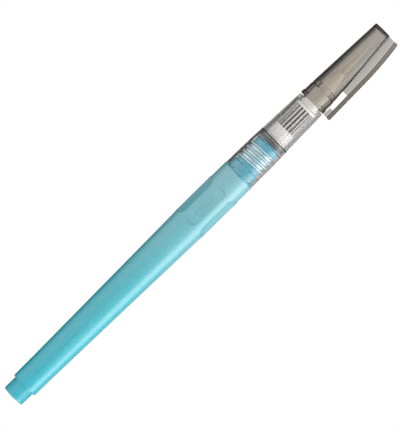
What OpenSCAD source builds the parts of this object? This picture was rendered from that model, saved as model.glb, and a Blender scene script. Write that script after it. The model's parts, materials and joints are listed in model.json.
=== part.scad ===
// Squeeze-barrel brush pen with a screw-on clear front section and a pull-off clip cap.
// Every piece is drawn about the pen's own axis (tail at zero, cap end at the top) with the clip
// towards +X, and place() then lays the pen down: axis along +X, resting on its grip and its clip.

/* [Barrel] */
// Radius of the barrel's grip zone, its widest part
grip_r = 5.78; // [5.7:0.01:5.9]
// Radius of the barrel where it meets the tail spigot
tail_end_r = 4.46; // [4.3:0.01:4.6]
// Radius of the barrel's plain collar ahead of the grip zone
shoulder_r = 5.66; // [5.6:0.01:5.68]
// Thickness of the squeezable wall
barrel_wall = 0.9; // [0.7:0.05:1]
// Radius of the tail spigot that the cap posts on
spigot_r = 3.74; // [3.6:0.01:3.8]
// Length of the tail spigot
spigot_l = 5; // [4.8:0.1:5.4]

/* [Grip pads] */
// Number of flat thumb pads around the grip zone
pad_count = 6; // [4:1:6]
// Depth of each flat below the grip surface
pad_depth = 0.37; // [0.2:0.01:0.42]
// Length of each pad, round ends included
pad_l = 14.6; // [10:0.1:14.6]
// Number of raised bars on the marked pad
pad_bars = 6; // [2:1:8]
// Number of raised dashes along the barrel
barrel_dashes = 13; // [4:1:16]

/* [Screw joint] */
// Advance of the thread per turn
thread_pitch = 1.8; // [1.7:0.05:1.9]
// Turns of thread on the neck and in the collar
thread_turns = 4; // [3:0.25:4.25]
// Radius of the neck under its thread
neck_r = 4.2; // [4.1:0.01:4.25]
// Radius of the bore through the neck
neck_bore_r = 3.2; // [3:0.05:3.3]

/* [Front section] */
// Number of ribs and slots around the wick cage
cage_ribs = 20; // [12:1:24]
// Radius over the ribs of the wick cage
cage_r = 3.74; // [3.68:0.01:3.76]
// Number of fine flutes around the clear housing
housing_flutes = 48; // [24:1:60]
// Radius of the housing's front spigot, inside the cap
nose_r = 3.44; // [3.3:0.01:3.46]
// Radius of the bristle tuft where it leaves the ferrule
tuft_r = 1.1; // [0.9:0.01:1.15]

/* [Cap] */
// Thickness of the cap's wall
cap_wall = 0.85; // [0.7:0.05:0.9]
// Slope of the flat under the clip, in degrees
flat_slope = 5; // [4.5:0.1:5.2]
// Number of friction ribs inside the cap's mouth
cap_ribs = 6; // [3:1:8]

/* [Clip] */
// Distance from the pen's axis to the outside of the clip rail, at the mouth
rail_out = 7.56; // [7.4:0.01:7.7]
// Thickness of the clip rail
rail_t = 1.38; // [1:0.01:1.4]
// Width of the clip rail at the mouth
rail_w = 3.2; // [2.6:0.1:3.6]
// Width of the clip rail at the end of the cap
rail_root_w = 2.4; // [2:0.1:2.6]
// Thickness of the web that joins rail and cap
web_t = 0.9; // [0.7:0.05:1.1]

/* [Hidden] */

$fn = 96;
// Overshoot of a cutting tool past the face that it cuts
cut = 1;
// Small gap left between two pieces that are welded or pushed together
seat = 0.02;

// Stations along the pen's axis, from the tail
barrel_z = 5.6;
grip_z = 76;
grip_end_z = 90.9;
shoulder_z = 91.4;
lip_z = 97.5;
collar_z = lip_z + 0.1;
thread_z = 100.9;
neck_tip_z = 110.55;
washer_z = 110.65;
washer_end_z = 111.85;
collar_wall_z = 111.9;
collar_end_z = 112.2;
ring_end_z = 112.62;
housing_z = ring_end_z + seat;
plug_z = 108.4;
plug_end_z = 113.48;
slot_z = 117.2;
slot_end_z = 125.7;
cage_step_z = 126.9;
cage_end_z = 133.45;
housing_end_z = 128.4;
cap_z = 128.75;
cap_step_z = 133.4;
nose_end_z = 135.5;
stub_z = 133.6;
relay_end_z = 137.8;
root_end_z = 138.5;
ferrule_end_z = 141.8;
tuft_end_z = 155.3;
cap_end_z = 160;

// Radii inside the screw joint
thread_crest_r = 4.75;
guide_r = 4.65;
collar_bore_r = 4.95;
collar_mouth_r = 4.85;
collar_thread_r = 4.4;

// Radii inside the front section
boss_r = 4.3;
boss_bore_r = 3.75;
housing_bore_r = 3.85;
cage_core_r = 3.6;
cage_bore_r = 3.38;
cage_nose_r = 2.9;
cage_end_wall = 0.7;
housing_nose_bore_r = 2.95;
ferrule_bore_r = 1.2;
ferrule_stub_r = 1.95;
relay_r = 1;

// The flat under the clip starts this far from the axis, at the cap's step
flat_start = 4.48;
// Cap radii at its mouth and at its end
cap_mouth_r = 4.86;
cap_front_r = 4.56;
cap_tip_r = 3.7;
cap_bore_r = 3.8;

// How far the rail's outer face has come towards the axis at a station
rail_lean = 0.0248;
rail_bend_z = 144.7;
rail_bend = 0.00438;
function rail_x(z) = rail_out - rail_lean * (z - cap_z) - rail_bend * pow(max(0, z - rail_bend_z), 2);
function flat_x(z) = flat_start - tan(flat_slope) * (z - cap_step_z);

// The pen's rest: it rolls until the rail's lower corner meets the table that the grip lies on
corner_r = norm([rail_out, rail_w / 2]);
clip_roll = asin(grip_r / corner_r) - atan2(rail_w / 2, rail_out);
clip_reach_y = rail_out * cos(clip_roll) + rail_w / 2 * sin(clip_roll);
axis_y = (clip_reach_y - grip_r) / 2;

// Lays a piece drawn about +Z, with the clip towards +X, where it is on the resting pen
module place() {
    translate([-cap_end_z / 2, axis_y, grip_r])
        rotate([0, 90, 0])
            rotate([0, 0, clip_roll - 90])
                children();
}

// A turned solid from its outline of [radius, station] points
module turned(outline) {
    rotate_extrude() polygon(outline);
}

// A plain tube or, with no bore, a plain rod between two stations
module tube(z0, z1, r_out, r_in = 0) {
    difference() {
        translate([0, 0, z0]) cylinder(r = r_out, h = z1 - z0);
        if (r_in > 0)
            translate([0, 0, z0 - cut]) cylinder(r = r_in, h = z1 - z0 + 2 * cut);
    }
}

// Points of a quarter round from [r - round, z] to [r, z + round], seen in the radius and station plane
function quarter_round(r, z, round, steps = 6) =
    [for (i = [0:steps]) [r - round + round * sin(i * 90 / steps), z + round - round * cos(i * 90 / steps)]];

// Helical ridge with a rounded crest about +Z. root_r and crest_r are its foot and its top, either way
// round, and it runs out to nothing over the first and last eighth of a turn.
module helix_ridge(z0, turns, root_r, crest_r, root_w, crest_w, steps = 60) {
    n = round(turns * steps);
    fade = steps / 8;
    // Share of the ridge's height, and distance along the axis, for each point of its section
    section = [[0, -root_w / 2], [0.7, -crest_w / 2], [1, -crest_w / 4],
               [1, crest_w / 4], [0.7, crest_w / 2], [0, root_w / 2]];
    m = len(section);
    function height(i) = (crest_r - root_r) * (0.04 + 0.96 * min(1, i / fade, (n - i) / fade));
    rings = [for (i = [0:n])
        let (a = i * 360 / steps, z = z0 + i * thread_pitch / steps)
        for (p = section)
            let (r = root_r + p[0] * height(i)) [r * cos(a), r * sin(a), z + p[1]]];
    flip = crest_r < root_r;
    function face(f) = flip ? [f[2], f[1], f[0]] : f;
    sides = [for (i = [0:n - 1]) for (k = [0:m - 1])
        let (a = m * i + k, b = m * i + (k + 1) % m)
        for (f = [[a, b, b + m], [a, b + m, a + m]]) face(f)];
    ends = [for (k = [1:m - 2])
        for (f = [[0, k + 1, k], [m * n, m * n + k, m * n + k + 1]]) face(f)];
    polyhedron(points = rings, faces = concat(sides, ends), convexity = 8);
}

// ---- Barrel ----

// The barrel's long taper, between its slim tail and the grip
taper_z = 14;
taper_r = 4.54;
taper_end_z = 75.2;
taper_end_r = 5.66;
function taper_at(z) = taper_r + (taper_end_r - taper_r) * max(0, z - taper_z) / (taper_end_z - taper_z);

module barrel_outside() {
    dome = 0.35;
    edge = 0.55;
    turned(concat(
        [[0, 0]],
        [for (p = quarter_round(spigot_r, dome, edge)) p],
        [[spigot_r, spigot_l], [tail_end_r - 0.15, barrel_z - 0.35], [tail_end_r, barrel_z],
         [taper_r, taper_z], [taper_end_r, taper_end_z], [grip_r, grip_z], [grip_r, grip_end_z],
         [shoulder_r, shoulder_z], [shoulder_r - 0.01, lip_z - 0.25], [shoulder_r - 0.12, lip_z],
         [guide_r, lip_z], [guide_r, lip_z + 2.7], [neck_r, lip_z + 3.1],
         [neck_r, neck_tip_z - 0.25], [neck_r - 0.25, neck_tip_z], [0, neck_tip_z]]));
}

module barrel_inside() {
    floor_z = 6.6;
    turned([[0, floor_z], [tail_end_r - barrel_wall - 0.6, floor_z],
            [tail_end_r - barrel_wall, floor_z + 0.9], [taper_r - barrel_wall, taper_z],
            [taper_end_r - barrel_wall, taper_end_z], [grip_r - barrel_wall - 0.1, grip_z + 1],
            [grip_r - barrel_wall - 0.1, grip_end_z - 0.4], [neck_bore_r, lip_z - 1.6],
            [neck_bore_r, neck_tip_z + cut], [0, neck_tip_z + cut]]);
}

// Cuts one flat pad with round ends, facing -Y before it is turned
module pad_cut() {
    half_w = sqrt(pow(grip_r, 2) - pow(grip_r - pad_depth, 2)) + 0.05;
    middle = (grip_z + grip_end_z) / 2;
    straight = pad_l / 2 - half_w;
    translate([0, pad_depth - grip_r, middle])
        rotate([90, 0, 0])
            linear_extrude(cut)
                union() {
                    square([2 * half_w, 2 * straight], center = true);
                    for (side = [-1, 1])
                        translate([0, side * straight]) circle(r = half_w);
                }
}

// Fine grooves along the tail spigot, in groups with plain bands between them
module spigot_grooves() {
    groups = 4;
    per_group = 5;
    pitch_angle = 6;
    groove_r = 0.09;
    for (g = [0:groups - 1])
        for (i = [0:per_group - 1])
            rotate([0, 0, 45 + g * 360 / groups + (i - (per_group - 1) / 2) * pitch_angle])
                translate([spigot_r, 0, 1.1]) cylinder(r = groove_r, h = spigot_l - 1.5, $fn = 16);
}

// Raised bars on the pad that faces -Y, in place of any lettering
module pad_marks() {
    bar_w = 0.5;
    bar_h = 0.16;
    bar_l = 2.2;
    spacing = 1.3;
    middle = (grip_z + grip_end_z) / 2;
    for (i = [0:pad_bars - 1])
        translate([-bar_l / 2, pad_depth - grip_r - bar_h,
                   middle + (i - (pad_bars - 1) / 2) * spacing - bar_w / 2])
            cube([bar_l, bar_h + 0.2, bar_w]);
}

// Raised dashes along the barrel, facing -Y, in place of any lettering
module barrel_marks() {
    first_z = 10.5;
    spacing = 1.75;
    dash_l = 1;
    dash_w = 0.55;
    proud = 0.1;
    row_turn = 3;
    for (i = [0:barrel_dashes - 1])
        let (z = first_z + i * spacing)
        rotate([0, 0, row_turn])
            translate([-dash_w / 2, -taper_at(z) - proud, z]) cube([dash_w, 4 * proud, dash_l]);
}

module squeeze_barrel() {
    notch_r = 3;
    color([0.36, 0.72, 0.77])
        place() {
            difference() {
                barrel_outside();
                barrel_inside();
                spigot_grooves();
                for (i = [0:pad_count - 1])
                    rotate([0, 0, i * 360 / pad_count]) pad_cut();
                // Shallow crescent just behind the lip, in line with the marked pad
                translate([0, -shoulder_r - notch_r + 0.25, lip_z - 0.75])
                    cylinder(r = notch_r, h = 0.35);
            }
            helix_ridge(thread_z, thread_turns, neck_r - 0.1, thread_crest_r, 1.05, 0.55);
            pad_marks();
            barrel_marks();
        }
}

// ---- Screw joint ----

module neck_seal() {
    color([0.25, 0.26, 0.32])
        place() tube(washer_z, washer_end_z, 4.7, 2.9);
}

module threaded_collar() {
    rear_r = 5.57;
    front_r = 5.25;
    edge = 0.08;
    seal_seat_r = 4.8;
    relief_z = 109.8;
    steps = 8;
    // The outside is nearly straight, and rounds in towards the seal
    function outside(u) = rear_r - (rear_r - front_r) * (u + pow(u, 5)) / 2;
    color([0.85, 0.9, 0.92, 0.5])
        place() {
            turned(concat(
                [[collar_mouth_r + 0.15, collar_z], [rear_r - edge, collar_z]],
                [for (i = [0:steps]) [outside(i / steps),
                                      collar_z + edge + (collar_end_z - collar_z - edge) * i / steps]],
                [[boss_r + 0.05, collar_end_z], [boss_r + 0.05, collar_wall_z],
                 [seal_seat_r, collar_wall_z], [seal_seat_r, relief_z + 0.2],
                 [collar_bore_r, relief_z], [collar_bore_r, thread_z - 0.6],
                 [collar_mouth_r, thread_z - 0.7], [collar_mouth_r, collar_z + 0.15]]));
            helix_ridge(thread_z + thread_pitch / 2, thread_turns - 0.5, collar_bore_r + 0.08,
                        collar_thread_r, 0.85, 0.45);
        }
}

module seal_ring() {
    color([0.08, 0.09, 0.11])
        place() tube(collar_end_z + seat, ring_end_z, 5.33, boss_r + 0.05);
}

// ---- Front section ----

module front_housing() {
    rear_r = 5.2;
    front_r = 4.74;
    wall_z = 127;
    corner = 0.35;
    corner_z = housing_end_z - corner;
    flute_r = 0.16;
    flute_depth = 0.04;
    flute_l = 14.3;
    lean = atan2(rear_r - front_r, corner_z - housing_z);
    color([0.88, 0.9, 0.9, 0.45])
        place()
            difference() {
                turned(concat(
                    [[boss_bore_r, collar_wall_z], [boss_r, collar_wall_z], [boss_r, housing_z],
                     [rear_r - 0.1, housing_z], [rear_r, housing_z + 0.1]],
                    [for (a = [0:22.5:90]) [front_r - corner * (1 - cos(a)), corner_z + corner * sin(a)]],
                    [[nose_r, housing_end_z], [nose_r, nose_end_z - 0.3], [nose_r - 0.3, nose_end_z],
                     [ferrule_stub_r + seat, nose_end_z], [ferrule_stub_r + seat, stub_z],
                     [housing_nose_bore_r, stub_z], [housing_nose_bore_r, wall_z],
                     [housing_bore_r, wall_z], [housing_bore_r, housing_z + 0.3],
                     [boss_bore_r, housing_z + 0.3]]));
                for (i = [0:housing_flutes - 1])
                    rotate([0, 0, i * 360 / housing_flutes])
                        translate([rear_r + flute_r - flute_depth, 0, housing_z - 0.2])
                            rotate([0, -lean, 0]) cylinder(r = flute_r, h = flute_l + 2, $fn = 16);
            }
}

module wick_cage() {
    rib_w = 0.4;
    rib_inset = 0.45;
    rib_foot_r = (cage_bore_r + cage_core_r) / 2;
    slot_share = 0.79;
    slot_w = slot_share * 2 * PI * cage_bore_r / cage_ribs;
    slot_turn = 4;
    edge = 0.25;
    rear_z = housing_z + seat;
    inner_end_z = cage_step_z - cage_end_wall;
    color([0.93, 0.92, 0.9])
        place()
            rotate([0, 0, slot_turn])
                difference() {
                    union() {
                        turned([[cage_bore_r, rear_z], [cage_core_r, rear_z],
                                [cage_core_r, cage_step_z - 0.4], [cage_nose_r, cage_step_z],
                                [cage_nose_r, cage_end_z - edge], [cage_nose_r - edge, cage_end_z],
                                [relay_r + seat, cage_end_z], [relay_r + seat, inner_end_z],
                                [cage_bore_r, inner_end_z]]);
                        for (i = [0:cage_ribs - 1])
                            rotate([0, 0, (i + 0.5) * 360 / cage_ribs])
                                translate([rib_foot_r, -rib_w / 2, rear_z + rib_inset])
                                    cube([cage_r - seat - rib_foot_r, rib_w,
                                          cage_step_z - rear_z - 2 * rib_inset]);
                    }
                    // The ribs stop short of the slots, which lie between plain bars
                    tube(slot_z, slot_end_z, cage_r + cut, cage_core_r);
                    for (i = [0:cage_ribs - 1])
                        rotate([0, 0, i * 360 / cage_ribs])
                            translate([0, -slot_w / 2, slot_z])
                                cube([cage_r + cut, slot_w, slot_end_z - slot_z]);
                }
}

module wick() {
    color([0.3, 0.3, 0.33])
        place() tube(plug_end_z + seat, cage_step_z - cage_end_wall - seat, cage_bore_r - seat);
}

module flow_plug() {
    metering_r = 0.4;
    tail_r = 2.6;
    color([0.9, 0.9, 0.88])
        place()
            difference() {
                turned([[0, plug_z], [tail_r - 0.4, plug_z], [tail_r, plug_z + 0.8],
                        [tail_r, collar_wall_z + seat], [boss_bore_r - 0.03, collar_wall_z + seat],
                        [boss_bore_r - 0.03, ring_end_z], [cage_bore_r - 0.03, ring_end_z],
                        [cage_bore_r - 0.03, plug_end_z], [0, plug_end_z]]);
                translate([0, 0, plug_z - cut])
                    cylinder(r = metering_r, h = plug_end_z - plug_z + 2 * cut, $fn = 32);
            }
}

module relay_core() {
    color([0.8, 0.78, 0.74])
        place() tube(cage_step_z - cage_end_wall, relay_end_z, relay_r);
}

module ferrule() {
    base_r = 2.36;
    tip_r = 1.38;
    color([0.93, 0.88, 0.82])
        place()
            turned([[relay_r + 0.03, stub_z + seat], [ferrule_stub_r, stub_z + seat],
                    [ferrule_stub_r, nose_end_z + seat], [base_r, nose_end_z + seat],
                    [base_r, nose_end_z + 0.4], [tip_r + 0.06, ferrule_end_z - 0.15],
                    [tip_r, ferrule_end_z], [ferrule_bore_r, ferrule_end_z],
                    [ferrule_bore_r, relay_end_z + seat], [relay_r + 0.03, relay_end_z + seat]]);
}

module bristle_root() {
    color([0.7, 0.6, 0.45])
        place() tube(relay_end_z + 2 * seat, root_end_z, ferrule_bore_r - seat);
}

// The tuft's outline: it swells slightly outside the ferrule and closes to a fine point
function tuft_at(u) = tuft_r * (1 - pow(u, 1.35)) * (1 + 0.12 * sin(180 * u)) + 0.03;

module bristle_tuft() {
    steps = 16;
    color([0.92, 0.86, 0.8])
        place()
            turned(concat(
                [[0, root_end_z + seat], [ferrule_bore_r - 0.03, root_end_z + seat],
                 [ferrule_bore_r - 0.03, ferrule_end_z - 0.1]],
                [for (i = [0:steps]) let (u = i / steps)
                    [tuft_at(u), ferrule_end_z + (tuft_end_z - ferrule_end_z) * u]],
                [[0, tuft_end_z]]));
}

// ---- Cap ----

// Everything on the pen's side of the flat, moved in by a wall's thickness
module inside_flat(inset) {
    size = 40;
    translate([flat_start - inset, 0, cap_step_z])
        rotate([0, -flat_slope, 0])
            translate([-size, -size / 2, -size / 4]) cube([size, size, size]);
}

module cap_outside() {
    round = 0.3;
    band_l = 1.2;
    groove_r = 4.44;
    groove_w = 0.3;
    turned(concat(
        [[0, cap_z], [cap_mouth_r - 0.15, cap_z], [cap_mouth_r, cap_z + 0.15],
         [cap_mouth_r, cap_z + band_l], [cap_front_r + 0.06, cap_z + band_l + 0.3],
         [cap_front_r + 0.03, cap_step_z - 0.05], [groove_r, cap_step_z],
         [groove_r, cap_step_z + groove_w - 0.05], [cap_front_r, cap_step_z + groove_w + 0.05]],
        [for (i = [0:5]) let (a = i * 18)
            [cap_tip_r - round + round * cos(a), cap_end_z - round + round * sin(a)]],
        [[0, cap_end_z]]));
}

module cap_inside() {
    floor_z = 159.2;
    floor_r = cap_tip_r - cap_wall + 0.1;
    lead_in = 0.2;
    corner = 0.45;
    turned([[0, cap_z - cut], [cap_bore_r + lead_in, cap_z - cut], [cap_bore_r + lead_in, cap_z],
            [cap_bore_r, cap_z + lead_in], [cap_bore_r, cap_step_z - 0.1],
            [cap_front_r - cap_wall - 0.05, cap_step_z + 0.1], [floor_r, floor_z - corner],
            [floor_r - corner, floor_z], [0, floor_z]]);
}

module cap_shell() {
    rib_w = 0.4;
    rib_l = 3.4;
    rib_in = nose_r + 0.06;
    color([0.5, 0.48, 0.45, 0.6])
        place() {
            difference() {
                intersection() {
                    cap_outside();
                    inside_flat(0);
                }
                intersection() {
                    cap_inside();
                    inside_flat(cap_wall);
                }
            }
            for (i = [0:cap_ribs - 1])
                rotate([0, 0, (i + 0.5) * 360 / cap_ribs])
                    translate([rib_in, -rib_w / 2, cap_z + 0.9])
                        cube([cap_bore_r + 0.15 - rib_in, rib_w, rib_l]);
        }
}

module cap_clip() {
    steps = 20;
    web_step = 8;
    window_end_z = 138.05;
    web_end_z = cap_end_z - 0.1;
    hook_l = 2.9;
    rim_gap = 0.15;
    bite = 0.1;
    corner = 0.4;
    straight_l = 8;
    function station(i) = cap_z + (cap_end_z - cap_z) * i / steps;
    // Where the web and the hook tab end, just inside the rail
    function under_rail(z) = rail_x(z) - rail_t + bite;
    plan = [[cap_z, rail_w / 2 - corner], [cap_z + corner, rail_w / 2], [cap_z + straight_l, rail_w / 2],
            [cap_end_z, rail_root_w / 2]];
    hook_x = cap_mouth_r + rim_gap;
    color([0.5, 0.48, 0.45, 0.6])
        place() {
            // Rail: its curved side outline, narrowed to its plan outline
            intersection() {
                translate([0, rail_w, 0])
                    rotate([90, 0, 0])
                        linear_extrude(2 * rail_w)
                            polygon(concat(
                                [for (i = [0:steps]) [rail_x(station(i)), station(i)]],
                                [for (i = [steps:-1:0]) [rail_x(station(i)) - rail_t, station(i)]]));
                rotate([0, 90, 0])
                    linear_extrude(rail_out + cut)
                        polygon(concat(
                            [for (p = plan) [-p[0], -p[1]]],
                            [for (i = [len(plan) - 1:-1:0]) [-plan[i][0], plan[i][1]]]));
            }
            // Web from the flat to the rail, and the hook tab at the mouth
            translate([0, web_t / 2, 0])
                rotate([90, 0, 0])
                    linear_extrude(web_t)
                        union() {
                            polygon(concat(
                                [[flat_x(window_end_z) + seat, window_end_z],
                                 [flat_x(cap_end_z) + seat, web_end_z]],
                                [for (i = [steps:-1:web_step])
                                    [under_rail(station(i)), min(station(i), web_end_z)]],
                                [[under_rail(window_end_z), window_end_z]]));
                            polygon([[hook_x, cap_z + 0.1], [hook_x, cap_z + hook_l - 1],
                                     [hook_x + 0.3, cap_z + hook_l],
                                     [under_rail(cap_z + hook_l), cap_z + hook_l],
                                     [under_rail(cap_z), cap_z + 0.1]]);
                        }
        }
}

squeeze_barrel();
neck_seal();
threaded_collar();
seal_ring();
front_housing();
wick_cage();
wick();
flow_plug();
relay_core();
ferrule();
bristle_root();
bristle_tuft();
cap_shell();
cap_clip();
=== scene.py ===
"""The looks of the brush pen: materials, bristle filaments, clip, studio light and camera."""

import json
import math
import random

import bmesh
import bpy
from mathutils import Matrix, Vector


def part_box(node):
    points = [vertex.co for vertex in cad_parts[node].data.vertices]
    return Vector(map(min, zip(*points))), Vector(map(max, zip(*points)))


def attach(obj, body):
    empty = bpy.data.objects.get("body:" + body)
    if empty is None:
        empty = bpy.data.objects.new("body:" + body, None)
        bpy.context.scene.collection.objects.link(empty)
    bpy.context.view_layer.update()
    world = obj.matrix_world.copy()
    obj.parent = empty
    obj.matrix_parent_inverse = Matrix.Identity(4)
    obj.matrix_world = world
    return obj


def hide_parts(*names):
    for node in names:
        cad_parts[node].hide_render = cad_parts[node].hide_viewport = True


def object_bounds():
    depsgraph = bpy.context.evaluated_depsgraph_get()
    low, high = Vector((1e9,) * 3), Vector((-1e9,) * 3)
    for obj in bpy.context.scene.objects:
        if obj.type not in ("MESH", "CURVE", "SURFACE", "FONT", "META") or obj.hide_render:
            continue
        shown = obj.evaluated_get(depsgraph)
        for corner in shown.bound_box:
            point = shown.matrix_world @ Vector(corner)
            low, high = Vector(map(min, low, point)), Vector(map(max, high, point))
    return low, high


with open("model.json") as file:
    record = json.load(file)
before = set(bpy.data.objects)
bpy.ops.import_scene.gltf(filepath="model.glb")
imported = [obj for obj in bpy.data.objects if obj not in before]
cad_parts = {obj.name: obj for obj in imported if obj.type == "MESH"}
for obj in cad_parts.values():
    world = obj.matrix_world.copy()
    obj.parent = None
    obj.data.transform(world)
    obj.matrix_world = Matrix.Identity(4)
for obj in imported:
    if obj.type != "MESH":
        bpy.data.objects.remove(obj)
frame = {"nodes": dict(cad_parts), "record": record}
cad_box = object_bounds()

MM = 0.001


# ---- The pen's own directions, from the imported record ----

mounts = {m["name"]: Vector(m["pos_m"]) for m in frame["record"]["mounts"]}
AXIS = Vector((1, 0, 0))
ON_AXIS = Vector((0, mounts["tail_spigot"].y, mounts["tail_spigot"].z))
to_clip = mounts["clip_gap"] - ON_AXIS
CLIP = Vector((0, to_clip.y, to_clip.z)).normalized()
FACING = AXIS.cross(-CLIP)
TAIL_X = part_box("squeeze_barrel")[0].x
# Where the clear collar starts, in millimetres from the tail
COLLAR_MM = (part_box("threaded_collar")[0].x - TAIL_X) / MM


def station(mm):
    """The row frame's X at a distance in millimetres from the tail."""
    return TAIL_X + mm * MM


# ---- Materials ----

def new_material(name):
    material = bpy.data.materials.new(name)
    material.use_nodes = True
    bsdf = next(n for n in material.node_tree.nodes if n.type == "BSDF_PRINCIPLED")
    return material, bsdf


def set_inputs(node, **values):
    for name, value in values.items():
        node.inputs[name.replace("_", " ")].default_value = value


def object_coords(tree, scale=(1, 1, 1)):
    """Object coordinates, which here are the row frame's metres, stretched by scale."""
    coords = tree.nodes.new("ShaderNodeTexCoord")
    mapping = tree.nodes.new("ShaderNodeMapping")
    mapping.inputs["Scale"].default_value = scale
    tree.links.new(coords.outputs["Object"], mapping.inputs["Vector"])
    return mapping.outputs["Vector"]


def noise(tree, per_metre, detail=3.0, roughness=0.5, stretch=(1, 1, 1)):
    node = tree.nodes.new("ShaderNodeTexNoise")
    set_inputs(node, Scale=per_metre, Detail=detail, Roughness=roughness)
    tree.links.new(object_coords(tree, stretch), node.inputs["Vector"])
    return node.outputs["Fac"]


def ramp(tree, value, stops):
    node = tree.nodes.new("ShaderNodeValToRGB")
    elements = node.color_ramp.elements
    while len(elements) < len(stops):
        elements.new(0.5)
    for element, (position, colour) in zip(elements, stops):
        element.position = position
        element.color = (*colour, 1)
    tree.links.new(value, node.inputs["Fac"])
    return node.outputs["Color"]


def map_range(tree, value, from_min, from_max, to_min, to_max):
    node = tree.nodes.new("ShaderNodeMapRange")
    set_inputs(node, From_Min=from_min, From_Max=from_max, To_Min=to_min, To_Max=to_max)
    tree.links.new(value, node.inputs["Value"])
    return node.outputs["Result"]


def along_pen(tree, start_mm, end_mm):
    """0 to 1 along the pen between two distances from the tail."""
    split = tree.nodes.new("ShaderNodeSeparateXYZ")
    tree.links.new(object_coords(tree), split.inputs["Vector"])
    return map_range(tree, split.outputs["X"], station(start_mm), station(end_mm), 0.0, 1.0)


def off_axis(tree, inner_mm, outer_mm):
    """0 to 1 between two distances out from the pen's axis."""
    reach = tree.nodes.new("ShaderNodeVectorMath")
    reach.operation = "DISTANCE"
    tree.links.new(object_coords(tree, (0, 1, 1)), reach.inputs[0])
    reach.inputs[1].default_value = ON_AXIS
    return map_range(tree, reach.outputs["Value"], inner_mm * MM, outer_mm * MM, 0.0, 1.0)


def mix(tree, factor, a, b, blend="MIX"):
    node = tree.nodes.new("ShaderNodeMix")
    node.data_type = "RGBA"
    node.blend_type = blend
    for socket, value in ((node.inputs["Factor"], factor), (node.inputs[6], a), (node.inputs[7], b)):
        if isinstance(value, bpy.types.NodeSocket):
            tree.links.new(value, socket)
        else:
            socket.default_value = value if isinstance(value, float) else (*value, 1)
    return node.outputs[2]


def bump(tree, bsdf, height, strength, distance_mm):
    node = tree.nodes.new("ShaderNodeBump")
    set_inputs(node, Strength=strength, Distance=distance_mm * MM)
    tree.links.new(height, node.inputs["Height"])
    tree.links.new(node.outputs["Normal"], bsdf.inputs["Normal"])


def absorb(material, colour, per_metre):
    tree = material.node_tree
    volume = tree.nodes.new("ShaderNodeVolumeAbsorption")
    volume.inputs["Color"].default_value = (*colour, 1)
    volume.inputs["Density"].default_value = per_metre
    output = next(n for n in tree.nodes if n.type == "OUTPUT_MATERIAL")
    tree.links.new(volume.outputs["Volume"], output.inputs["Volume"])


def let_light_in(material):
    """Lets the studio's light straight through clear plastic to what lies inside it."""
    tree = material.node_tree
    output = next(n for n in tree.nodes if n.type == "OUTPUT_MATERIAL")
    shader = output.inputs["Surface"].links[0].from_socket
    rays = tree.nodes.new("ShaderNodeLightPath")
    clear = tree.nodes.new("ShaderNodeBsdfTransparent")
    for kind in ("Is Diffuse Ray", "Is Shadow Ray"):
        blend = tree.nodes.new("ShaderNodeMixShader")
        tree.links.new(rays.outputs[kind], blend.inputs["Fac"])
        tree.links.new(shader, blend.inputs[1])
        tree.links.new(clear.outputs["BSDF"], blend.inputs[2])
        shader = blend.outputs["Shader"]
    tree.links.new(shader, output.inputs["Surface"])


def teal_barrel():
    """Frosted see-through polyethylene, deeper in colour towards the tail and glossier on the neck, with a
    painted glow line at the lip and painted highlights on the thread's crests.
    """
    lip_start = COLLAR_MM - 0.75
    lip_end = COLLAR_MM - 0.6
    thread_start = COLLAR_MM + 2.9
    thread_crest = 4.75
    neck_colour = (0.02, 0.42, 0.56)
    material, bsdf = new_material("teal_frosted")
    tree = material.node_tree
    set_inputs(bsdf, Transmission_Weight=0.3, IOR=1.45, Coat_Weight=0.8, Coat_Roughness=0.18, Coat_IOR=1.7)
    body = ramp(tree, along_pen(tree, 0, lip_end),
                [(0.0, (0.0, 0.54, 0.66)), (0.5, (0.06, 0.55, 0.63)), (1.0, (0.27, 0.60, 0.66))])
    # Painted glow: the lip is painted a deeper teal, in place of the light that glows along its edge
    body_with_lip_glow = mix(tree, along_pen(tree, lip_start, lip_end), body, (0.0, 0.40, 0.50))
    # Painted highlight: the thread's crests are painted pale, in place of the light they catch
    crest_highlight_mask = off_axis(tree, thread_crest - 0.11, thread_crest - 0.01)
    painted_crest_highlight = mix(tree, crest_highlight_mask, neck_colour, (0.80, 0.90, 0.92))
    neck = mix(tree, along_pen(tree, thread_start - 0.1, thread_start + 0.1), neck_colour, painted_crest_highlight)
    tint = mix(tree, along_pen(tree, COLLAR_MM - 0.05, COLLAR_MM + 0.05), body_with_lip_glow, neck)
    cloud = ramp(tree, noise(tree, 160, 4, 0.6, (0.35, 1, 1)), [(0.3, (0.93, 0.97, 0.98)), (0.7, (1, 1, 1))])
    tree.links.new(mix(tree, 1.0, tint, cloud, "MULTIPLY"), bsdf.inputs["Base Color"])
    frost = ramp(tree, along_pen(tree, COLLAR_MM - 0.3, COLLAR_MM + 0.1),
                 [(0.0, (0.28, 0.28, 0.28)), (1.0, (0.06, 0.06, 0.06))])
    grain = ramp(tree, noise(tree, 900, 2, 0.5), [(0.3, (0.85, 0.85, 0.85)), (0.7, (1, 1, 1))])
    tree.links.new(mix(tree, 1.0, frost, grain, "MULTIPLY"), bsdf.inputs["Roughness"])
    bump(tree, bsdf, noise(tree, 260, 2, 0.5, (0.5, 1, 1)), 0.10, 0.02)
    absorb(material, (0.05, 0.80, 0.90), 600)
    return material


def clear_plastic():
    """Clear moulded plastic with faint flow marks."""
    material, bsdf = new_material("clear_moulded")
    tree = material.node_tree
    set_inputs(bsdf, Transmission_Weight=1.0, IOR=1.49)
    bsdf.inputs["Base Color"].default_value = (1, 1, 1, 1)
    rough = map_range(tree, noise(tree, 200, 2, 0.5, (0.4, 1, 1)), 0.3, 0.7, 0.0, 0.03)
    tree.links.new(rough, bsdf.inputs["Roughness"])
    bump(tree, bsdf, noise(tree, 160, 1, 0.5, (0.3, 1, 1)), 0.05, 0.02)
    absorb(material, (0.50, 0.47, 0.40), 60)
    let_light_in(material)
    return material


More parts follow.
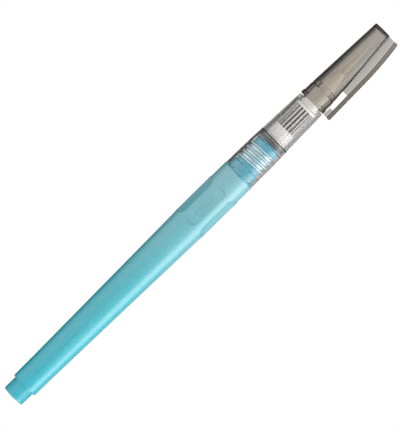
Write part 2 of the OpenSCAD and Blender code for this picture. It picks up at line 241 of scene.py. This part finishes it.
def smoke_plastic():
    """Smoky grey-brown translucent plastic, dark where its wall is seen edge on."""
    material, bsdf = new_material("smoke_moulded")
    tree = material.node_tree
    set_inputs(bsdf, Transmission_Weight=1.0, IOR=1.5)
    bsdf.inputs["Base Color"].default_value = (1, 1, 1, 1)
    rough = map_range(tree, noise(tree, 180, 2, 0.5, (0.4, 1, 1)), 0.3, 0.7, 0.0, 0.03)
    tree.links.new(rough, bsdf.inputs["Roughness"])
    bump(tree, bsdf, noise(tree, 140, 1, 0.5, (0.3, 1, 1)), 0.05, 0.02)
    absorb(material, (0.214, 0.125, 0.0), 560)
    let_light_in(material)
    return material


def satin(name, dark, light, per_metre, roughness, subsurface=0.0, radius_mm=1.0):
    """An opaque or milky moulded plastic with a cloudy tone and a fine bump."""
    spread = 0.08
    material, bsdf = new_material(name)
    tree = material.node_tree
    set_inputs(bsdf, IOR=1.48, Subsurface_Weight=subsurface, Subsurface_Scale=radius_mm * MM)
    bsdf.inputs["Subsurface Radius"].default_value = (1.0, 0.9, 0.8)
    tone = ramp(tree, noise(tree, per_metre, 4, 0.6), [(0.3, dark), (0.7, light)])
    tree.links.new(tone, bsdf.inputs["Base Color"])
    rough = map_range(tree, noise(tree, per_metre * 3, 2), 0.3, 0.7, roughness - spread, roughness + spread)
    tree.links.new(rough, bsdf.inputs["Roughness"])
    bump(tree, bsdf, noise(tree, per_metre * 2, 2, 0.5), 0.08, 0.02)
    return material


def felt(name, dark, light):
    """Bonded fibres running along the pen."""
    material, bsdf = new_material(name)
    tree = material.node_tree
    set_inputs(bsdf, IOR=1.4, Roughness=0.9, Sheen_Weight=0.15, Sheen_Roughness=0.5)
    fibres = noise(tree, 4200, 3, 0.7, (0.06, 1, 1))
    tree.links.new(ramp(tree, fibres, [(0.35, dark), (0.65, light)]), bsdf.inputs["Base Color"])
    bump(tree, bsdf, fibres, 0.5, 0.04)
    return material


def nylon():
    """Fine filaments, cream at the root and paler towards the point."""
    root_mm = 140
    point_mm = 156
    material, bsdf = new_material("nylon_filament")
    tree = material.node_tree
    set_inputs(bsdf, IOR=1.5, Roughness=0.45)
    tint = ramp(tree, along_pen(tree, root_mm, point_mm),
                [(0.0, (0.87, 0.82, 0.76)), (1.0, (0.95, 0.92, 0.87))])
    streak = ramp(tree, noise(tree, 3000, 2, 0.5, (0.03, 1, 1)),
                  [(0.3, (0.92, 0.91, 0.90)), (0.7, (1, 1, 1))])
    tree.links.new(mix(tree, 1.0, tint, streak, "MULTIPLY"), bsdf.inputs["Base Color"])
    return material


MATERIALS = {
    "teal_barrel": teal_barrel(),
    "clear_plastic": clear_plastic(),
    "smoke_plastic": smoke_plastic(),
    "dark_seal": satin("dark_seal", (0.035, 0.04, 0.06), (0.06, 0.065, 0.09), 600, 0.55),
    "black_ring": satin("black_ring", (0.008, 0.008, 0.01), (0.02, 0.02, 0.024), 700, 0.45),
    "milky_plastic": satin("milky_plastic", (0.66, 0.65, 0.63), (0.76, 0.75, 0.73), 250, 0.35, 0.2, 0.5),
    "wick_felt": felt("wick_felt", (0.03, 0.03, 0.036), (0.08, 0.08, 0.095)),
    "relay_felt": felt("relay_felt", (0.55, 0.52, 0.46), (0.80, 0.77, 0.70)),
    "cream_plastic": satin("cream_plastic", (0.82, 0.78, 0.73), (0.90, 0.87, 0.82), 220, 0.35, 0.2, 0.5),
    "nylon_bristle": nylon(),
}
for part in frame["record"]["subparts"]:
    node = frame["nodes"][part["node"]]
    for material_slot in node.material_slots:
        material_slot.material = MATERIALS[part["material_slot"]]


# ---- Bristle tuft: fine filaments that gather to a point ----

def build_tuft():
    low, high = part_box("bristle_tuft")
    ferrule_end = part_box("ferrule")[1].x
    inset = 0.05 * MM
    root_x = low.x + inset
    root_r = 1.1 * MM
    belly = 0.10
    taper = 1.35
    stray = 0.16
    turn = 0.10
    filaments = 420
    rings = 14
    sides = 5
    thickness = 0.07 * MM
    rng = random.Random(11)
    golden = math.pi * (3 - math.sqrt(5))
    mesh = bmesh.new()

    def radius_share(x):
        """How far the tuft has closed at x: 1 inside the ferrule, 0 at the point."""
        u = max(0.0, (x - ferrule_end) / (high.x - ferrule_end))
        return (1 - u ** taper) * (1 + belly * math.sin(math.pi * u))

    def strand(centre_at, x0, x1, r0, tip_r, count, steps):
        previous = None
        first = None
        for i in range(steps + 1):
            t = i / steps
            x = x0 + (x1 - x0) * t
            centre = centre_at(x)
            r = r0 + (tip_r - r0) * t ** 3
            ring = [mesh.verts.new((x, centre[0] + r * math.cos(2 * math.pi * k / count),
                                    centre[1] + r * math.sin(2 * math.pi * k / count))) for k in range(count)]
            if previous:
                for k in range(count):
                    mesh.faces.new((previous[k], previous[(k + 1) % count], ring[(k + 1) % count], ring[k]))
            else:
                first = ring
            previous = ring
        mesh.faces.new(list(reversed(first)))
        mesh.faces.new(previous)

    for n in range(filaments):
        share = math.sqrt((n + 0.5) / filaments)
        angle = n * golden
        drift = rng.uniform(-turn, turn)
        reach = 1 - stray * share * rng.random()
        tip_x = ferrule_end + (high.x - inset - ferrule_end) * reach

        def centre_at(x, share=share, angle=angle, drift=drift):
            u = max(0.0, (x - ferrule_end) / (high.x - ferrule_end))
            r = (root_r - thickness) * share * radius_share(x)
            a = angle + drift * u
            return ON_AXIS.y + r * math.cos(a), ON_AXIS.z + r * math.sin(a)

        strand(centre_at, root_x, tip_x, thickness, thickness * 0.25, sides, rings)

    data = bpy.data.meshes.new("bristle_filaments")
    bmesh.ops.recalc_face_normals(mesh, faces=mesh.faces)
    mesh.to_mesh(data)
    mesh.free()
    for polygon in data.polygons:
        polygon.use_smooth = True
    tuft = bpy.data.objects.new("bristle_filaments", data)
    bpy.context.scene.collection.objects.link(tuft)
    data.materials.append(MATERIALS["nylon_bristle"])
    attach(tuft, "front_section")
    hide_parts("bristle_tuft")


build_tuft()


# ---- Clip: a rail with rounded edges, its web and its hook tab ----

def upper_hull(points):
    """The upper convex outline of (x, y) points, left to right."""
    hull = []
    for x, y in sorted(points):
        while len(hull) > 1:
            (x0, y0), (x1, y1) = hull[-2], hull[-1]
            if (x1 - x0) * (y - y0) - (y1 - y0) * (x - x0) < 0:
                break
            hull.pop()
        hull.append((x, y))
    return hull


def follow(outline, x):
    """The outline's height at x, straight between its points."""
    for (x0, y0), (x1, y1) in zip(outline, outline[1:]):
        if x <= x1:
            return y0 + (y1 - y0) * (x - x0) / (x1 - x0) if x1 > x0 else y1
    return outline[-1][1]


def pen_point(x, out, side):
    """A point at x along the pen, out towards the clip and side towards the viewer."""
    return ON_AXIS + x * AXIS + out * CLIP + side * FACING


def new_object(name, mesh):
    bmesh.ops.recalc_face_normals(mesh, faces=mesh.faces)
    data = bpy.data.meshes.new(name)
    mesh.to_mesh(data)
    mesh.free()
    piece = bpy.data.objects.new(name, data)
    bpy.context.scene.collection.objects.link(piece)
    return piece


def loft(name, rings):
    """A closed solid through rings of points, with a flat face at each end."""
    mesh = bmesh.new()
    loops = [[mesh.verts.new(p) for p in ring] for ring in rings]
    for one, two in zip(loops, loops[1:]):
        for k in range(len(one)):
            following = (k + 1) % len(one)
            mesh.faces.new((one[k], one[following], two[following], two[k]))
    mesh.faces.new(list(reversed(loops[0])))
    mesh.faces.new(loops[-1])
    return new_object(name, mesh)


def build_clip():
    # Close enough to count as the same place
    hair = 0.02 * MM
    node = frame["nodes"]["cap_clip"]
    places = [(node.matrix_world @ v.co) - ON_AXIS for v in node.data.vertices]
    seen = [(p.x, p.dot(CLIP), p.dot(FACING)) for p in places]
    start = min(x for x, out, side in seen)
    end = max(x for x, out, side in seen)
    outer = upper_hull([(x, out) for x, out, side in seen])
    plan = upper_hull([(x, abs(side)) for x, out, side in seen])
    mouth_face = [out for x, out, side in seen if x < start + hair / 2]
    thickness = max(mouth_face) - min(mouth_face)
    web_half = 0.45 * MM
    squareness = 6
    sections = 72
    points = 32
    nose = 0.45 * MM
    # How far the plates reach up into the rail, as a share of its thickness
    root = 0.6
    # The tab lies within this distance of the mouth, and the web beyond it
    tab_reach = 5 * MM
    rings = []
    for i in range(sections + 1):
        # Sections gather towards both ends, where the rail rounds off
        x = start + (end - start) * (1 - math.cos(math.pi * i / sections)) / 2
        edge = min(x - start, end - x)
        shrink = nose - math.sqrt(max(0.0, nose ** 2 - max(0.0, nose - edge) ** 2))
        half_out = thickness / 2 - shrink
        half_side = follow(plan, x) - shrink
        middle = follow(outer, x) - thickness / 2
        ring = []
        for k in range(points):
            a = 2 * math.pi * k / points
            across = math.copysign(abs(math.cos(a)) ** (2 / squareness), math.cos(a)) * half_side
            upward = math.copysign(abs(math.sin(a)) ** (2 / squareness), math.sin(a)) * half_out
            ring.append(pen_point(x, middle + upward, across))
        rings.append(ring)
    rail = loft("clip_rail", rings)

    def plate(name, x0, x1, low_at, steps):
        """A plate from its lower edge up into the rail, with rounded edges."""
        rings = []
        for i in range(steps + 1):
            x = x0 + (x1 - x0) * i / steps
            top = follow(outer, x) - root * thickness
            rings.append([pen_point(x, low_at(x), -web_half), pen_point(x, low_at(x), web_half),
                          pen_point(x, top, web_half), pen_point(x, top, -web_half)])
        piece = loft(name, rings)
        bevel = piece.modifiers.new("edges", "BEVEL")
        bevel.width = 0.12 * MM
        bevel.segments = 3
        bevel.limit_method = "ANGLE"
        return piece

    thin = [(x, out) for x, out, side in seen if abs(side) < web_half + hair]
    tab = [(x, out) for x, out in thin if x < start + tab_reach and out < min(mouth_face) - 10 * hair]
    web = [(x, out) for x, out in thin if x > start + tab_reach]
    web_start = min(web)
    web_end = (max(x for x, out in web) - hair, min(out for x, out in web))
    slope = (web_end[1] - web_start[1]) / (web_end[0] - web_start[0])
    pieces = [plate("clip_web", web_start[0], web_end[0],
                    lambda x: web_start[1] + slope * (x - web_start[0]), 24),
              plate("clip_tab", min(tab)[0], max(tab)[0], lambda x: min(out for _, out in tab), 3)]
    for piece in pieces:
        union = rail.modifiers.new(piece.name, "BOOLEAN")
        union.operation = "UNION"
        union.solver = "EXACT"
        union.object = piece
    whole = bpy.data.meshes.new_from_object(rail.evaluated_get(bpy.context.evaluated_depsgraph_get()))
    for piece in [rail, *pieces]:
        bpy.data.objects.remove(piece)
    clip = bpy.data.objects.new("clip_moulding", whole)
    bpy.context.scene.collection.objects.link(clip)
    for polygon in whole.polygons:
        polygon.use_smooth = True
    whole.set_sharp_from_angle(angle=math.radians(35))
    whole.materials.clear()
    whole.materials.append(MATERIALS["smoke_plastic"])
    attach(clip, "cap")
    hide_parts("cap_clip")


build_clip()


# ---- Stage: pale floor, soft studio light, camera ----

# The studio's brightness around the pen, by degrees from the camera's side towards the clip's side
STUDIO = [(-180, 0.74), (-174, 0.66), (-164, 0.07), (-121, 0.07), (-106, 0.55), (-88, 1.0), (-60, 1.2),
          (-30, 1.0), (0, 0.80), (35, 0.85), (50, 1.4), (62, 3.1), (86, 3.1), (100, 1.2), (115, 0.45),
          (150, 0.40), (170, 0.56), (180, 0.74)]
# The most of it that shows through the plastic
THROUGH = 1.7


def build_floor():
    size = 3.0
    mesh = bmesh.new()
    bmesh.ops.create_grid(mesh, x_segments=1, y_segments=1, size=size)
    data = bpy.data.meshes.new("floor")
    mesh.to_mesh(data)
    mesh.free()
    floor = bpy.data.objects.new("floor", data)
    floor.location.z = cad_box[0].z - 0.02 * MM
    bpy.context.scene.collection.objects.link(floor)
    material = bpy.data.materials.new("pale_floor")
    material.use_nodes = True
    tree = material.node_tree
    tree.nodes.clear()
    glow = tree.nodes.new("ShaderNodeEmission")
    output = tree.nodes.new("ShaderNodeOutputMaterial")
    tree.links.new(glow.outputs["Emission"], output.inputs["Surface"])
    data.materials.append(material)
    # The table is seen, and the studio behind it lights the pen from all round
    floor.visible_diffuse = False
    floor.visible_glossy = False
    floor.visible_transmission = False
    floor.visible_shadow = False


def build_world():
    world = bpy.data.worlds.new("studio")
    world.use_nodes = True
    tree = world.node_tree
    background = tree.nodes["Background"]
    coords = tree.nodes.new("ShaderNodeTexCoord")

    def share_of(direction):
        dot = tree.nodes.new("ShaderNodeVectorMath")
        dot.operation = "DOT_PRODUCT"
        dot.inputs[1].default_value = direction
        tree.links.new(coords.outputs["Generated"], dot.inputs[0])
        return dot.outputs["Value"]

    angle = tree.nodes.new("ShaderNodeMath")
    angle.operation = "ARCTAN2"
    tree.links.new(share_of(CLIP), angle.inputs[0])
    tree.links.new(share_of(FACING), angle.inputs[1])
    turn = map_range(tree, angle.outputs["Value"], -math.pi, math.pi, 0.0, 1.0)
    brightest = max(value for _, value in STUDIO)
    sky = ramp(tree, turn, [((degrees + 180) / 360, (value / brightest,) * 3) for degrees, value in STUDIO])
    calm = mix(tree, 1.0, sky, (THROUGH / brightest,) * 3, "DARKEN")
    rays = tree.nodes.new("ShaderNodeLightPath")
    seen = tree.nodes.new("ShaderNodeMix")
    seen.data_type = "RGBA"
    tree.links.new(rays.outputs["Is Camera Ray"], seen.inputs["Factor"])
    tree.links.new(mix(tree, rays.outputs["Is Transmission Ray"], sky, calm), seen.inputs[6])
    seen.inputs[7].default_value = (1 / brightest,) * 3 + (1,)
    tree.links.new(seen.outputs[2], background.inputs["Color"])
    background.inputs["Strength"].default_value = brightest
    bpy.context.scene.world = world


def build_camera():
    distance = 1.5
    framed = 132.4 * MM
    roll = math.radians(44.456)
    data = bpy.data.cameras.new("camera")
    data.lens = data.sensor_width * distance / framed
    camera = bpy.data.objects.new("camera", data)
    away = -CLIP
    right = math.cos(roll) * AXIS - math.sin(roll) * away
    up = math.sin(roll) * AXIS + math.cos(roll) * away
    target = ON_AXIS + station(80.03) * AXIS + 0.69 * MM * CLIP
    place = target + distance * FACING
    camera.matrix_world = Matrix((
        (right.x, up.x, FACING.x, place.x),
        (right.y, up.y, FACING.y, place.y),
        (right.z, up.z, FACING.z, place.z),
        (0, 0, 0, 1)))
    bpy.context.scene.collection.objects.link(camera)
    bpy.context.scene.camera = camera


build_floor()
build_world()
build_camera()

scene = bpy.context.scene
scene.view_settings.view_transform = "Standard"
# Enough bounces for light to pass through cap, housing and cage and back out
scene.cycles.max_bounces = 32
scene.cycles.transmission_bounces = 32
scene.cycles.transparent_max_bounces = 32
